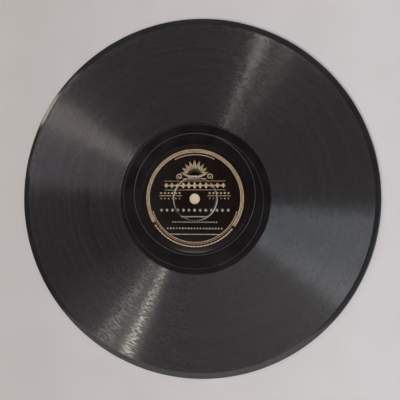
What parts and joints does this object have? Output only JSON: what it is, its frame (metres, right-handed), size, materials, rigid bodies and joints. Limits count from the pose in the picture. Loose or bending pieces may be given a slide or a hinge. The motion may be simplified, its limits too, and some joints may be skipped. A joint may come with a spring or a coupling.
{
  "type": "shellac record",
  "caption": "Flat black shellac gramophone disc with a fine recording groove, a spiral run-out, an off-centre stop groove and a dark paper label round its spindle hole.",
  "frame": {"origin": "on the spindle axis, at the underside of the disc", "axes": "+Z along the spindle axis and out of the labelled side, +Y towards the top of the label, +X to its right"},
  "size_m": [0.2508, 0.2508, 0.0021],
  "materials": {
    "shellac": "gloss",
    "label_paper": "satin"
  },
  "bodies": {
    "root": {"shellac_disc": "shellac", "paper_label": "label_paper"}
  },
  "joints": []
}
